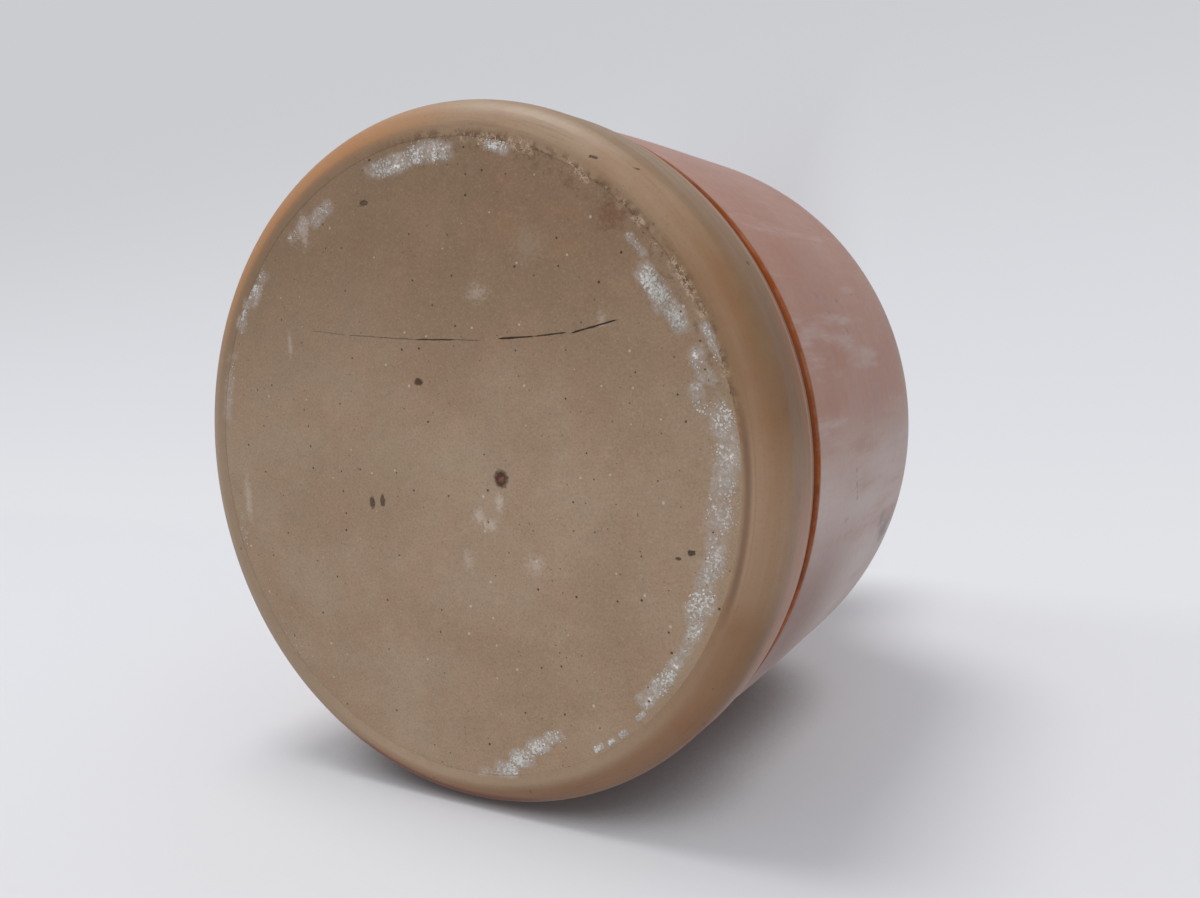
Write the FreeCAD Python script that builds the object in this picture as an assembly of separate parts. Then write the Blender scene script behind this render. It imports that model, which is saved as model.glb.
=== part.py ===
# Clay goblet drum (darbuka) standing on its foot: +Z up along the drum's axis, millimetres.
# Origin: middle of the foot's flat standing rim.
# A thrown bowl and a thrown stem are luted into one shell. The skin is glued over the bowl's
# rounded bearing edge, a hide band is shrunk over that lap, and a gut cord in a turned groove
# holds the band's lower edge. Only the free disc of skin moves, with the crust dried on it.

import FreeCAD, Part
import math
import os

# overall sizes
drumHeight = 320.0
headRadius = 100.0
footRadius = 55.0
throatRadius = 42.0
clayWall = 9.0

# layers at the head, and how far down the side each one reaches
edgeRounding = 9.0
bandThickness = 1.8
skinThickness = 0.8
glueThickness = 0.4
bandDepth = 23.4
lapShortfall = 1.2
glueShortfall = 2.6

# the band's thin ragged lip over the rim of the free skin
lipThickness = 0.8
lipReach = 1.2
lipWave = 0.4
lipLobes = 11

# running gap round the free skin
skinGap = 0.3

# turned groove, its cord and the cord's knot
grooveWidth = 5.6
grooveDepth = 4.2
grooveLedge = 0.9
bowlStepIn = 0.8
cordRadius = 1.15
knotAngle = 180.0
knotShare = 0.35
knotSpan = 3.2
knotRounding = 0.7
tailRadius = 0.7
cordLift = 0.05
tailSpan = 11.0

# bowl and stem
bellyDrop = 70.0
shoulderDrop = 120.0
shoulderRounding = 62.0
shoulderSweep = 62.0
neckDepth = 23.3
seamFlare = 2.4
luteRadius = 2.6
luteBulge = 0.9
waistShare = 0.73
footLipHeight = 7.0
footEdge = 2.0

# crust dried on the skin near the lip: angle, distance from the axis as a share of the free
# skin's radius, length along the rim, width across it
crustThickness = 0.5
crustPoints = 9
crustPatches = [
    (30.0, 0.900, 14.0, 8.0),
    (16.0, 0.920, 18.0, 7.5),
    (-2.0, 0.930, 26.0, 4.5),
    (-22.0, 0.935, 22.0, 5.0),
    (-42.0, 0.935, 14.0, 5.0),
    (-55.0, 0.945, 11.0, 4.0),
    (-70.0, 0.900, 10.0, 4.0),
    (-80.0, 0.950, 8.0, 3.5),
    (96.0, 0.930, 23.0, 6.0),
    (122.0, 0.915, 10.0, 6.0),
    (140.0, 0.945, 8.0, 4.0),
]

# derived: the rounded edge is shared by every layer, so each one lies on the next
edgeCentre = (headRadius - edgeRounding, drumHeight - edgeRounding)
lapRadius = headRadius - bandThickness
glueRadius = lapRadius - skinThickness
rimRadius = glueRadius - glueThickness
bandFoot = drumHeight - bandDepth

# derived: the free skin hangs under the lip, inside the bearing edge
lipUnderside = drumHeight - lipThickness
skinTop = lipUnderside - skinGap
skinRadius = edgeCentre[0] - skinGap
lipRadius = skinRadius - lipReach

# derived: groove, bowl and stem
grooveBottom = headRadius - grooveDepth
cordHeight = bandFoot - grooveLedge - cordRadius
cordCircle = grooveBottom + cordRadius + cordLift
bowlRadius = headRadius - bowlStepIn
shoulderCentre = (headRadius - shoulderRounding, drumHeight - shoulderDrop)
seamRadius = throatRadius + seamFlare
seamHeight = shoulderCentre[1] - shoulderRounding * math.sin(math.radians(shoulderSweep)) - neckDepth
waistHeight = waistShare * seamHeight
seamLean = (-seamFlare, -0.25 * (seamHeight - waistHeight))

origin = FreeCAD.Vector(0, 0, 0)
up = FreeCAD.Vector(0, 0, 1)


def onArc(centre, radius, degrees):
    angle = math.radians(degrees)
    return (centre[0] + radius * math.cos(angle), centre[1] + radius * math.sin(angle))


def vector(point):
    return FreeCAD.Vector(point[0], 0.0, point[1])


def straight(*points):
    return [Part.makeLine(vector(a), vector(b)) for a, b in zip(points, points[1:])]


def arc(centre, radius, start, end):
    stops = [vector(onArc(centre, radius, d)) for d in (start, 0.5 * (start + end), end)]
    return [Part.Arc(*stops).toShape()]


def curve(points, startsAlong, endsAlong):
    spline = Part.BSplineCurve()
    spline.interpolate(
        Points=[vector(p) for p in points],
        InitialTangent=vector(startsAlong),
        FinalTangent=vector(endsAlong),
    )
    return [spline.toShape()]


def section(edges):
    return Part.Face(Part.Wire(Part.__sortEdges__(edges)))


def roundSection(centreRadius, radius, height):
    return section([Part.makeCircle(radius, vector((centreRadius, height)), FreeCAD.Vector(0, 1, 0))])


def turned(face, span=360.0):
    # a closed outline in the XZ plane, spun about the drum's axis
    return face.revolve(origin, up, span)


def edgeLayer(outerRadius, thickness, foot):
    # one layer wrapped over the rounded edge and down the side
    outer = outerRadius - edgeCentre[0]
    inner = outer - thickness
    outerTop = onArc(edgeCentre, outer, 90.0)
    innerTop = onArc(edgeCentre, inner, 90.0)
    outerSide = onArc(edgeCentre, outer, 0.0)
    innerSide = onArc(edgeCentre, inner, 0.0)
    edges = arc(edgeCentre, outer, 90.0, 0.0)
    edges += straight(outerSide, (outerRadius, foot), (outerRadius - thickness, foot), innerSide)
    edges += arc(edgeCentre, inner, 0.0, 90.0)
    edges += straight(innerTop, outerTop)
    return turned(section(edges))


def bowlOutside():
    # from the bearing edge over the groove, belly and shoulder to the seam
    grooveFoot = bandFoot - grooveWidth
    ledge = (grooveBottom, bandFoot - grooveLedge)
    floorEnd = (grooveBottom, ledge[1] - 2.0 * cordRadius)
    farLip = (bowlRadius, grooveFoot)
    belly = (headRadius, drumHeight - bellyDrop)
    shoulder = onArc(shoulderCentre, shoulderRounding, 0.0)
    neck = onArc(shoulderCentre, shoulderRounding, -shoulderSweep)
    along = onArc((0.0, 0.0), shoulderRounding, -90.0 - shoulderSweep)
    edges = arc(edgeCentre, rimRadius - edgeCentre[0], 90.0, 0.0)
    edges += straight((rimRadius, edgeCentre[1]), (rimRadius, bandFoot), ledge, floorEnd)
    edges += curve([floorEnd, farLip], (0.0, -grooveWidth), (grooveDepth, -0.25 * grooveWidth))
    edges += curve([farLip, belly], (0.0, -bellyDrop), (0.0, -bellyDrop))
    edges += straight(belly, shoulder)
    edges += arc(shoulderCentre, shoulderRounding, 0.0, -shoulderSweep)
    edges += curve([neck, (seamRadius, seamHeight)], along, seamLean)
    return edges


def bowlInside():
    # the same belly, shoulder and neck, one clay wall further in
    wallTop = (bowlRadius - clayWall, edgeCentre[1] - edgeRounding)
    belly = (headRadius - clayWall, drumHeight - bellyDrop)
    hollow = shoulderRounding - clayWall
    shoulder = onArc(shoulderCentre, hollow, 0.0)
    neck = onArc(shoulderCentre, hollow, -shoulderSweep)
    along = onArc((0.0, 0.0), hollow, -90.0 - shoulderSweep)
    rimTop = onArc(edgeCentre, rimRadius - edgeCentre[0], 90.0)
    rimStep = (rimTop[0], edgeCentre[1])
    edges = straight(rimTop, rimStep, wallTop)
    edges += curve([wallTop, belly], (0.0, -bellyDrop), (0.0, -bellyDrop))
    edges += straight(belly, shoulder)
    edges += arc(shoulderCentre, hollow, 0.0, -shoulderSweep)
    edges += curve([neck, (seamRadius - clayWall, seamHeight)], along, seamLean)
    return edges


def coilSection():
    return roundSection(seamRadius + luteBulge - luteRadius, luteRadius, seamHeight)


def clayBowl():
    edges = bowlOutside() + bowlInside()
    edges += straight((seamRadius, seamHeight), (seamRadius - clayWall, seamHeight))
    return turned(section(edges).cut(coilSection()))


def stemSide(inset, lowest):
    # waisted tube flaring to the foot; inset 0 is its outside
    flare = footRadius - throatRadius
    points = [
        (seamRadius, seamHeight),
        (throatRadius, waistHeight),
        (throatRadius + 0.15 * flare, 0.55 * waistHeight),
        (throatRadius + 0.55 * flare, 0.24 * waistHeight),
        (footRadius, footLipHeight),
    ]
    inner = [(r - inset, z) for r, z in points]
    edges = curve(inner, seamLean, (0.6 * flare, -flare))
    return edges + straight(inner[-1], (inner[-1][0], lowest))


def clayStem():
    outer = footRadius - footEdge
    edges = stemSide(0.0, footEdge)
    edges += arc((outer, footEdge), footEdge, 0.0, -90.0)
    edges += straight((outer, 0.0), (footRadius - clayWall, 0.0))
    edges += stemSide(clayWall, 0.0)
    edges += straight((seamRadius - clayWall, seamHeight), (seamRadius, seamHeight))
    return turned(section(edges).cut(coilSection()))


def closedOutline(points):
    spline = Part.BSplineCurve()
    spline.interpolate(Points=points, PeriodicFlag=True)
    return Part.Wire([spline.toShape()])


def lipEdge():
    steps = 6 * lipLobes
    points = []
    for step in range(steps):
        turn = 2.0 * math.pi * step / steps
        wave = 0.6 * math.sin(lipLobes * turn) + 0.4 * math.sin((lipLobes + 6) * turn + 1.0)
        radius = lipRadius + lipWave * wave
        points.append(FreeCAD.Vector(radius * math.cos(turn), radius * math.sin(turn), lipUnderside))
    return closedOutline(points)


def rimBand():
    lift = FreeCAD.Vector(0, 0, lipThickness)
    lip = Part.makeCylinder(edgeCentre[0], lipThickness, FreeCAD.Vector(0, 0, lipUnderside))
    lip = lip.cut(Part.Face(lipEdge()).extrude(lift))
    return edgeLayer(headRadius, bandThickness, bandFoot).fuse(lip).removeSplitter()


def knot():
    # overhand knot in the gut, its two cut ends laid back over the cord
    radius = knotShare * grooveWidth
    body = turned(roundSection(grooveBottom + radius + cordLift, radius, cordHeight), knotSpan)
    body = body.makeFillet(knotRounding * radius, body.Edges)
    body.rotate(origin, up, -0.5 * knotSpan)
    tails = turned(roundSection(cordCircle + cordRadius + tailRadius + cordLift, tailRadius, cordHeight), tailSpan)
    tails.rotate(origin, up, -0.5 * tailSpan)
    body = body.fuse(tails)
    body.rotate(origin, up, knotAngle)
    return body


def bindingCord():
    body = turned(roundSection(cordCircle, cordRadius, cordHeight), 360.0 - knotSpan)
    body.rotate(origin, up, knotAngle + 0.5 * knotSpan)
    return body


def crustPatch(index, patch):
    angle, share, length, width = patch
    centre = share * skinRadius
    points = []
    for step in range(crustPoints):
        turn = 2.0 * math.pi * step / crustPoints
        along = 0.5 * length * math.cos(turn) * (1.0 + 0.18 * math.sin(3.0 * step + index))
        across = 0.5 * width * math.sin(turn) * (1.0 + 0.16 * math.cos(2.0 * step + index))
        heading = math.radians(angle) + along / centre
        radius = centre + across
        points.append(FreeCAD.Vector(radius * math.cos(heading), radius * math.sin(heading), skinTop))
    return Part.Face(closedOutline(points)).extrude(FreeCAD.Vector(0, 0, crustThickness))


def crust():
    return Part.makeCompound([crustPatch(i, patch) for i, patch in enumerate(crustPatches)])


def freeSkin():
    return Part.makeCylinder(skinRadius, skinThickness, FreeCAD.Vector(0, 0, skinTop - skinThickness))


nodes = {
    "clay_bowl": clayBowl(),
    "clay_stem": clayStem(),
    "luting_coil": turned(coilSection()),
    "glue_bed": edgeLayer(glueRadius, glueThickness, bandFoot + glueShortfall),
    "skin_lap": edgeLayer(lapRadius, skinThickness, bandFoot + lapShortfall),
    "drum_skin": freeSkin(),
    "rim_band": rimBand(),
    "binding_cord": bindingCord(),
    "cord_knot": knot(),
    "dried_crust": crust(),
}

os.makedirs("parts", exist_ok=True)
for name, shape in nodes.items():
    shape.exportStep("parts/" + name + ".step")
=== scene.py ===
import math
import random

import bmesh
import bpy
from mathutils import Euler, Matrix, Vector, geometry, noise


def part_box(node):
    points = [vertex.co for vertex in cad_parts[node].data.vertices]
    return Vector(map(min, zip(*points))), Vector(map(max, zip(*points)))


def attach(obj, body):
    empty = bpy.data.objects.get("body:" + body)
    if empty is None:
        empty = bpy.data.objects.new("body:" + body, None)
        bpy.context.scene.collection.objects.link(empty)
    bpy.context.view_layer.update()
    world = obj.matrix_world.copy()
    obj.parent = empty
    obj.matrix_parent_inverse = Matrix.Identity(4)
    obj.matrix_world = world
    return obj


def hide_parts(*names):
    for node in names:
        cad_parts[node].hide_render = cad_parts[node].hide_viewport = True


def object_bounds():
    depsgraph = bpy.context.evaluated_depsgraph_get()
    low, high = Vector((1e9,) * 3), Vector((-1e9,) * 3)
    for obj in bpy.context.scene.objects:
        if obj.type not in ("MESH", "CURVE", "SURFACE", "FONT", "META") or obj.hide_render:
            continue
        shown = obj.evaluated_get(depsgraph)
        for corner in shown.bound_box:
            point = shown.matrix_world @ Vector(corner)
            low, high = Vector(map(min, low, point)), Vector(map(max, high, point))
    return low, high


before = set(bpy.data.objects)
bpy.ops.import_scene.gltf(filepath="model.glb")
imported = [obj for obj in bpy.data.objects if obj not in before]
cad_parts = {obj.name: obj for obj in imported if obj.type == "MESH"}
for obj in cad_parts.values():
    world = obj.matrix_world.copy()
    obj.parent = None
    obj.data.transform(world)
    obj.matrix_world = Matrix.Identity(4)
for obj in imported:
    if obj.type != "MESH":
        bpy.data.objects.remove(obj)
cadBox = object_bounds()
mm = 0.001
headTop = cadBox[1].z
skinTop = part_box("drum_skin")[1].z
headCentre = Vector((0, 0, skinTop))
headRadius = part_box("rim_band")[1].x
print("frame loaded, drum height", round(headTop, 4))


def paint(red, green, blue):
    # a colour as seen on screen, turned into the linear values that shaders use
    channels = [((c / 255 + 0.055) / 1.055) ** 2.4 for c in (red, green, blue)]
    return (*channels, 1.0)


def feed(tree, socket, value):
    # a link if the value comes from another node, a plain setting if not
    if isinstance(value, bpy.types.NodeSocket):
        tree.links.new(value, socket)
    else:
        socket.default_value = value


def addNode(tree, kind, inputs=None, **settings):
    made = tree.nodes.new(kind)
    for key, value in settings.items():
        setattr(made, key, value)
    for key, value in (inputs or {}).items():
        feed(tree, made.inputs[key], value)
    return made


def maths(tree, operation, first, second=0.0, third=0.0, clamp=False):
    made = addNode(tree, "ShaderNodeMath", {0: first, 1: second, 2: third}, operation=operation)
    made.use_clamp = clamp
    return made.outputs[0]


def vectorMaths(tree, operation, first, second=(0, 0, 0), output=0):
    made = addNode(tree, "ShaderNodeVectorMath", {0: first, 1: second}, operation=operation)
    return made.outputs[output]


def scaled(tree, vector, amount):
    made = addNode(tree, "ShaderNodeVectorMath", {0: vector, "Scale": amount}, operation="SCALE")
    return made.outputs[0]


def split(tree, vector):
    return addNode(tree, "ShaderNodeSeparateXYZ", {0: vector}).outputs


def fade(tree, value, low, high, outLow=0.0, outHigh=1.0):
    # smooth step between two values
    ends = {"Value": value, "From Min": low, "From Max": high, "To Min": outLow, "To Max": outHigh}
    return addNode(tree, "ShaderNodeMapRange", ends, interpolation_type="SMOOTHSTEP").outputs[0]


def tint(tree, factor, first, second):
    made = addNode(tree, "ShaderNodeMix", data_type="RGBA")
    for index, value in ((0, factor), (6, first), (7, second)):
        feed(tree, made.inputs[index], value)
    return made.outputs[2]


def wash(tree, colour, mask, strength, other):
    # a thin coat of another colour, laid where the mask is
    return tint(tree, maths(tree, "MULTIPLY", mask, strength), colour, other)


def fineNoise(tree, vector, scale, detail=4.0, roughness=0.55, output=0):
    inputs = {"Vector": vector, "Scale": scale, "Detail": detail, "Roughness": roughness}
    return addNode(tree, "ShaderNodeTexNoise", inputs).outputs[output]


def newGroup(name, inputs, outputs):
    tree = bpy.data.node_groups.new(name, "ShaderNodeTree")
    for label, kind, value in inputs:
        socket = tree.interface.new_socket(name=label, in_out="INPUT", socket_type=kind)
        socket.default_value = value
    for label, kind in outputs:
        tree.interface.new_socket(name=label, in_out="OUTPUT", socket_type=kind)
    return tree, tree.nodes.new("NodeGroupInput").outputs, tree.nodes.new("NodeGroupOutput").inputs


def useGroup(tree, group, inputs):
    made = tree.nodes.new("ShaderNodeGroup")
    made.node_tree = group
    for key, value in inputs.items():
        feed(tree, made.inputs[key], value)
    return made.outputs


def place(tree):
    return addNode(tree, "ShaderNodeTexCoord").outputs["Object"]


def newMaterial(name):
    material = bpy.data.materials.new(name)
    material.use_nodes = True
    tree = material.node_tree
    tree.nodes.clear()
    shader = addNode(tree, "ShaderNodeBsdfPrincipled")
    addNode(tree, "ShaderNodeOutputMaterial", {"Surface": shader.outputs[0]})
    return material, tree, shader


def bump(tree, shader, height, distance, strength):
    made = addNode(tree, "ShaderNodeBump", {"Height": height, "Distance": distance, "Strength": strength})
    tree.links.new(made.outputs[0], shader.inputs["Normal"])


vectorKind = "NodeSocketVector"
numberKind = "NodeSocketFloat"


def buildMottle():
    # cloudy stains with soft borders
    tree, given, made = newGroup("mottle", [
        ("Vector", vectorKind, (0, 0, 0)), ("Scale", numberKind, 20.0), ("Low", numberKind, 0.4),
        ("High", numberKind, 0.6), ("Seed", numberKind, 0.0)], [("Mask", numberKind)])
    shifted = vectorMaths(tree, "ADD", given["Vector"], scaled(tree, (0.37, 0.61, 0.83), given["Seed"]))
    cloud = fineNoise(tree, shifted, given["Scale"], 5.0, 0.6)
    tree.links.new(fade(tree, cloud, given["Low"], given["High"]), made["Mask"])
    return tree


def buildPits(name, flat, spread, least, core):
    # sparse round pits: one cell in a few holds one, each of its own size
    tree, given, made = newGroup(name, [
        ("Vector", vectorKind, (0, 0, 0)), ("Scale", numberKind, 200.0), ("Size", numberKind, 0.15),
        ("Share", numberKind, 0.2)], [("Mask", numberKind)])
    cells = addNode(tree, "ShaderNodeTexVoronoi", {"Vector": given["Vector"], "Scale": given["Scale"]},
                    voronoi_dimensions="2D" if flat else "3D")
    pick = addNode(tree, "ShaderNodeSeparateColor", {0: cells.outputs["Color"]})
    chosen = maths(tree, "LESS_THAN", pick.outputs[0], given["Share"])
    edge = maths(tree, "MULTIPLY", given["Size"], maths(tree, "MULTIPLY_ADD", pick.outputs[1], spread, least))
    inside = fade(tree, cells.outputs["Distance"], edge, maths(tree, "MULTIPLY", edge, core))
    tree.links.new(maths(tree, "MULTIPLY", chosen, inside), made["Mask"])
    return tree


def buildBlot():
    # one blot with a ragged border, longer one way than the other
    tree, given, made = newGroup("blot", [
        ("Vector", vectorKind, (0, 0, 0)), ("Centre", vectorKind, (0, 0, 0)),
        ("Stretch", vectorKind, (1, 1, 1)), ("Size", numberKind, 0.002), ("Soft", numberKind, 0.5),
        ("Ragged", numberKind, 0.3), ("Grain", numberKind, 900.0)], [("Mask", numberKind)])
    away = vectorMaths(tree, "SUBTRACT", given["Vector"], given["Centre"])
    away = vectorMaths(tree, "DIVIDE", away, given["Stretch"])
    distance = maths(tree, "DIVIDE", vectorMaths(tree, "LENGTH", away, output=1), given["Size"])
    rough = fineNoise(tree, given["Vector"], given["Grain"], 4.0, 0.7)
    rough = maths(tree, "SUBTRACT", rough, 0.5)
    bent = maths(tree, "MULTIPLY_ADD", rough, maths(tree, "MULTIPLY", given["Ragged"], 2.0), distance)
    tree.links.new(fade(tree, bent, 1.0, maths(tree, "SUBTRACT", 1.0, given["Soft"])), made["Mask"])
    return tree


def buildStroke():
    # a thin line between two points, wandering a little, and thinner here and there and towards its ends
    tree, given, made = newGroup("stroke", [
        ("Vector", vectorKind, (0, 0, 0)), ("From", vectorKind, (0, 0, 0)), ("To", vectorKind, (0, 0, 0)),
        ("Width", numberKind, 0.0002), ("Soft", numberKind, 0.5), ("Wander", numberKind, 0.0003)],
        [("Mask", numberKind)])
    drift = fineNoise(tree, given["Vector"], 260.0, 3.0, 0.6, output=1)
    nudge = scaled(tree, vectorMaths(tree, "SUBTRACT", drift, (0.5, 0.5, 0.5)), given["Wander"])
    point = vectorMaths(tree, "ADD", given["Vector"], nudge)
    run = vectorMaths(tree, "SUBTRACT", given["To"], given["From"])
    gone = vectorMaths(tree, "SUBTRACT", point, given["From"])
    share = maths(tree, "DIVIDE", vectorMaths(tree, "DOT_PRODUCT", gone, run, 1),
                  vectorMaths(tree, "DOT_PRODUCT", run, run, 1), clamp=True)
    nearest = scaled(tree, run, share)
    distance = vectorMaths(tree, "LENGTH", vectorMaths(tree, "SUBTRACT", gone, nearest), output=1)
    thin = maths(tree, "MULTIPLY_ADD", fineNoise(tree, given["Vector"], 420.0, 2.0), 1.1, 0.25)
    width = maths(tree, "MULTIPLY", given["Width"], thin)
    taper = fade(tree, maths(tree, "PINGPONG", share, 0.5), 0.0, 0.12, 0.25, 1.0)
    edge = maths(tree, "MULTIPLY", width, taper)
    core = maths(tree, "MULTIPLY", edge, maths(tree, "SUBTRACT", 1.0, given["Soft"]))
    tree.links.new(fade(tree, distance, edge, core), made["Mask"])
    return tree


def facing(tree, outward, bearing):
    # 1 on the side with this bearing in degrees, 0 a quarter turn away, -1 opposite
    turn = math.radians(bearing)
    return vectorMaths(tree, "DOT_PRODUCT", outward, (math.cos(turn), math.sin(turn), 0.0), 1)


def buildPowder(patches):
    # chalky powder lying along the rim, in patches that break up into clusters
    tree, given, made = newGroup("powder", [("Vector", vectorKind, (0, 0, 0))],
                                 [("Veil", numberKind), ("White", numberKind)])
    radius, outward = roundAxis(tree, given["Vector"])
    density = None
    for bearing, halfAngle, reach, halfWidth, strength in patches:
        ends = [math.cos(math.radians(angle)) for angle in (halfAngle, halfAngle * 0.25)]
        along = fade(tree, facing(tree, outward, bearing), *ends)
        gap = maths(tree, "ABSOLUTE", maths(tree, "SUBTRACT", radius, reach * mm))
        across = fade(tree, gap, halfWidth * mm, halfWidth * 0.2 * mm, 0.0, strength)
        patch = maths(tree, "MULTIPLY", along, across)
        density = patch if density is None else maths(tree, "MAXIMUM", density, patch)
    cluster = fineNoise(tree, given["Vector"], 170.0, 4.0, 0.6)
    grains = fineNoise(tree, given["Vector"], 950.0, 4.0, 0.75)
    rough = maths(tree, "MULTIPLY", density, 0.8)
    rough = maths(tree, "MULTIPLY_ADD", maths(tree, "SUBTRACT", grains, 0.5), 2.2, rough)
    mixed = maths(tree, "MULTIPLY_ADD", maths(tree, "SUBTRACT", cluster, 0.5), 1.7, rough)
    frayed = maths(tree, "MULTIPLY_ADD", maths(tree, "SUBTRACT", cluster, 0.5), 1.5, density)
    worth = maths(tree, "MULTIPLY", fade(tree, frayed, 0.12, 0.62), fade(tree, density, 0.0, 0.12))
    veil = maths(tree, "MULTIPLY", worth, fade(tree, mixed, 0.05, 0.9, 0.28, 0.9))
    tree.links.new(veil, made["Veil"])
    tree.links.new(maths(tree, "MULTIPLY", worth, fade(tree, mixed, 0.76, 1.12)), made["White"])
    return tree


def roundAxis(tree, vector):
    # distance from the drum's axis, and the direction straight out from it
    flat = vectorMaths(tree, "MULTIPLY", vector, (1, 1, 0))
    return vectorMaths(tree, "LENGTH", flat, output=1), vectorMaths(tree, "NORMALIZE", flat)


def buildWear():
    # rubbed edges and packed hollows, read from the shape itself
    tree, given, made = newGroup("wear", [("Vector", vectorKind, (0, 0, 0)), ("Amount", numberKind, 0.5)],
                                 [("Edge", numberKind), ("Hollow", numberKind)])
    bend = addNode(tree, "ShaderNodeNewGeometry").outputs["Pointiness"]
    breakUp = fineNoise(tree, given["Vector"], 120.0, 5.0, 0.65)
    edge = maths(tree, "MULTIPLY", fade(tree, bend, 0.505, 0.54), fade(tree, breakUp, 0.35, 0.65))
    hollow = fade(tree, bend, 0.495, 0.46)
    tree.links.new(maths(tree, "MULTIPLY", edge, given["Amount"]), made["Edge"])
    tree.links.new(maths(tree, "MULTIPLY", hollow, given["Amount"]), made["Hollow"])
    return tree


def buildThrowingLines():
    # fine rings left by the wheel and the burnishing stone, stretched round the axis
    tree, given, made = newGroup("throwingLines", [("Vector", vectorKind, (0, 0, 0))],
                                 [("Mask", numberKind), ("Height", numberKind)])
    parts = split(tree, given["Vector"])
    bearing = maths(tree, "ARCTAN2", parts[1], parts[0])
    radius = maths(tree, "SQRT", maths(tree, "ADD", maths(tree, "MULTIPLY", parts[0], parts[0]),
                                       maths(tree, "MULTIPLY", parts[1], parts[1])))
    travel = maths(tree, "SUBTRACT", parts[2], radius)
    turn = 6.0 * mm  # how far the noise changes once round
    wrapped = addNode(tree, "ShaderNodeCombineXYZ", {
        0: maths(tree, "MULTIPLY", maths(tree, "COSINE", bearing), turn),
        1: maths(tree, "MULTIPLY", maths(tree, "SINE", bearing), turn), 2: travel}).outputs[0]
    broad = fineNoise(tree, wrapped, 130.0, 3.0, 0.6)
    fine = fineNoise(tree, wrapped, 700.0, 2.0, 0.5)
    tree.links.new(fade(tree, broad, 0.35, 0.65), made["Mask"])
    tree.links.new(maths(tree, "MULTIPLY_ADD", fine, 0.35, broad), made["Height"])
    return tree


mottle = buildMottle()
pores = buildPits("pores", False, 0.8, 0.35, 0.55)
specks = buildPits("specks", True, 0.9, 0.3, 0.4)  # for the flat skin
blot = buildBlot()
stroke = buildStroke()
wear = buildWear()
throwingLines = buildThrowingLines()
print("shared effects ready")


def cloudy(tree, vector, scale, low, high, seed=0.0):
    inputs = {"Vector": vector, "Scale": scale, "Low": low, "High": high, "Seed": seed}
    return useGroup(tree, mottle, inputs)["Mask"]


def pitted(tree, group, vector, scale, size, share):
    return useGroup(tree, group, {"Vector": vector, "Scale": scale, "Size": size, "Share": share})["Mask"]


def blotted(tree, vector, centre, size, **settings):
    return useGroup(tree, blot, {"Vector": vector, "Centre": centre, "Size": size * mm, **settings})["Mask"]


def below(tree, rise, start, end):
    # from 0 to 1 between two depths under the top of the skin, in millimetres
    return fade(tree, rise, skinTop - start * mm, skinTop - end * mm)


def ruled(tree, vector, start, end, width):
    # a thin line between two places given in millimetres
    inputs = {"Vector": vector, "From": at(*start), "To": at(*end), "Width": width * mm}
    return useGroup(tree, stroke, inputs)["Mask"]


def washSide(tree, colour, outward, bearing, low, high, strength, other):
    # another colour on the side with this bearing, from how squarely it faces there
    return tint(tree, fade(tree, facing(tree, outward, bearing), low, high, 0.0, strength), colour, other)


def at(x, y, z=None):
    # a spot given in millimetres from the middle of the head
    return (x * mm, y * mm, skinTop if z is None else z * mm)


# where the skin is drawn up to the torn lip of the band, and how far, in millimetres
skinLift = {"start": 78.0, "reach": 89.2, "rise": 0.52}

skinFinish = {
    "base": paint(153, 131, 109), "shade": paint(116, 91, 68), "warm": paint(150, 116, 90),
    "dull": paint(106, 84, 64), "speckDark": paint(96, 74, 56), "speckLight": paint(186, 168, 146),
    "fibre": paint(188, 166, 144), "rag": paint(92, 66, 46), "crack": paint(52, 34, 22),
    "powder": paint(178, 168, 160), "whitest": paint(226, 222, 218), "dot": paint(206, 198, 186),
    "spot": paint(70, 40, 28), "spotHeart": paint(136, 88, 66), "dark": paint(60, 42, 30),
    "pale": paint(186, 174, 164), "olive": paint(140, 126, 98), "rust": paint(104, 68, 44), "roughness": 0.74,
}

# bearing and half angle in degrees, distance from the axis and half width in millimetres, strength
powderPatches = [
    (32.5, 6.0, 81.8, 4.4, 1.0), (26.5, 4.2, 82.6, 3.8, 0.95), (17.0, 4.5, 84.0, 4.6, 0.66),
    (12.0, 4.5, 81.0, 3.6, 0.66), (20.0, 4.5, 88.6, 2.6, 0.62), (40.5, 3.6, 84.6, 2.2, 0.5),
    (5.0, 9.0, 85.4, 5.4, 0.6), (-5.0, 9.0, 84.2, 6.0, 0.62), (-15.5, 8.0, 83.8, 5.6, 0.66),
    (-23.0, 7.0, 83.8, 5.2, 0.74), (-30.0, 6.0, 85.2, 3.6, 0.78), (-37.5, 5.0, 85.2, 3.4, 0.74),
    (-42.5, 5.0, 85.0, 3.8, 0.84), (-59.0, 1.6, 87.8, 1.4, 0.8), (-56.0, 1.2, 87.9, 1.1, 0.8),
    (-53.0, 1.4, 87.9, 1.4, 0.8), (-48.0, 1.6, 87.1, 1.4, 0.7), (-67.5, 3.5, 80.8, 3.0, 0.72),
    (-72.0, 4.0, 82.2, 3.6, 0.84), (-76.5, 4.2, 84.6, 4.4, 0.86), (-80.5, 4.0, 87.4, 3.6, 0.78),
    (-84.0, 4.0, 88.6, 2.4, 0.42), (97.0, 8.5, 84.9, 4.2, 0.78), (88.0, 7.0, 85.4, 4.6, 0.82),
    (73.0, 4.0, 87.6, 2.6, 0.7), (117.6, 5.0, 83.5, 4.6, 0.46), (124.5, 5.0, 85.2, 3.6, 0.5),
    (141.7, 6.0, 87.0, 3.6, 0.64), (148.0, 5.0, 88.4, 3.0, 0.68), (165.0, 13.0, 88.6, 3.4, 0.36),
    (-165.0, 12.0, 87.0, 3.4, 0.26), (-140.0, 10.0, 87.5, 3.0, 0.2),
]
powder = buildPowder(powderPatches)

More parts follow.
